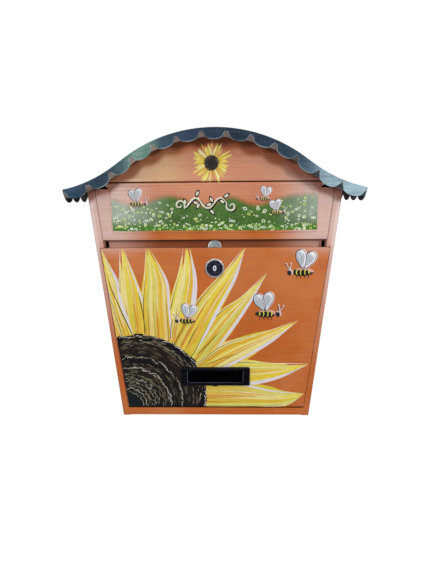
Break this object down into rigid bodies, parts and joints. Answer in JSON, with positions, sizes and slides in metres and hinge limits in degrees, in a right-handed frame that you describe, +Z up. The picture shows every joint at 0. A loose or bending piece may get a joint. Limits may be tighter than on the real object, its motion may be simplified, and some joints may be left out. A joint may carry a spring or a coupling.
{
  "type": "wall mailbox",
  "caption": "Wall-hung sheet-steel mailbox with an arched scalloped roof, a top-hinged letter flap and a lockable bottom-hinged door.",
  "frame": {"origin": "centre of the four wall-screw holes, on the back panel's rear face", "axes": "+Z up, -Y out of the wall towards the person at the door, +X to that person's right"},
  "size_m": [0.3518, 0.1176, 0.3653],
  "materials": {
    "copper_enamel": "satin, brushed on by hand",
    "roof_patina": "dark petrol blue with pale green patches",
    "zinc_plate": "dull zinc",
    "lock_chrome": "bright",
    "lock_core_black": "gloss",
    "black_plastic": "satin moulded",
    "clear_window": "clear"
  },
  "bodies": {
    "housing": {"back_panel": "copper_enamel", "side_panel_left": "copper_enamel", "side_panel_right": "copper_enamel", "bottom_panel": "copper_enamel", "lintel": "copper_enamel", "gable_panel": "copper_enamel", "roof": "roof_patina", "roof_edge_strip": "zinc_plate", "roof_brackets_front": "zinc_plate", "roof_brackets_back": "zinc_plate", "roof_rivets": "roof_patina", "flap_rod": "zinc_plate", "flap_rod_lugs": "copper_enamel", "flap_rod_caps": "zinc_plate", "door_pin_left": "zinc_plate", "door_pin_right": "zinc_plate"},
    "flap": {"letter_flap": "copper_enamel"},
    "door": {"door_panel": "copper_enamel", "lock_housing": "lock_chrome", "lock_nut": "zinc_plate", "name_plate_frame": "black_plastic", "name_plate_window": "clear_window", "name_plate_backing": "black_plastic", "name_plate_clips": "zinc_plate"},
    "lock_core": {"lock_plug": "lock_core_black", "lock_cam": "zinc_plate", "cam_washer": "zinc_plate", "cam_screw": "zinc_plate"}
  },
  "joints": [
    {"name": "flap_hinge", "type": "hinge", "parent": "housing", "child": "flap", "pos_m": [0, -0.09605, 0.1522], "axis": [-1, 0, 0], "range_deg": [0, 45]},
    {"name": "door_hinge", "type": "hinge", "parent": "housing", "child": "door", "pos_m": [0, -0.09555, -0.13565], "axis": [1, 0, 0], "range_deg": [0, 95]},
    {"name": "lock_turn", "type": "hinge", "parent": "door", "child": "lock_core", "pos_m": [0, -0.0952, 0.0506], "axis": [0, 1, 0], "range_deg": [0, 90]}
  ]
}
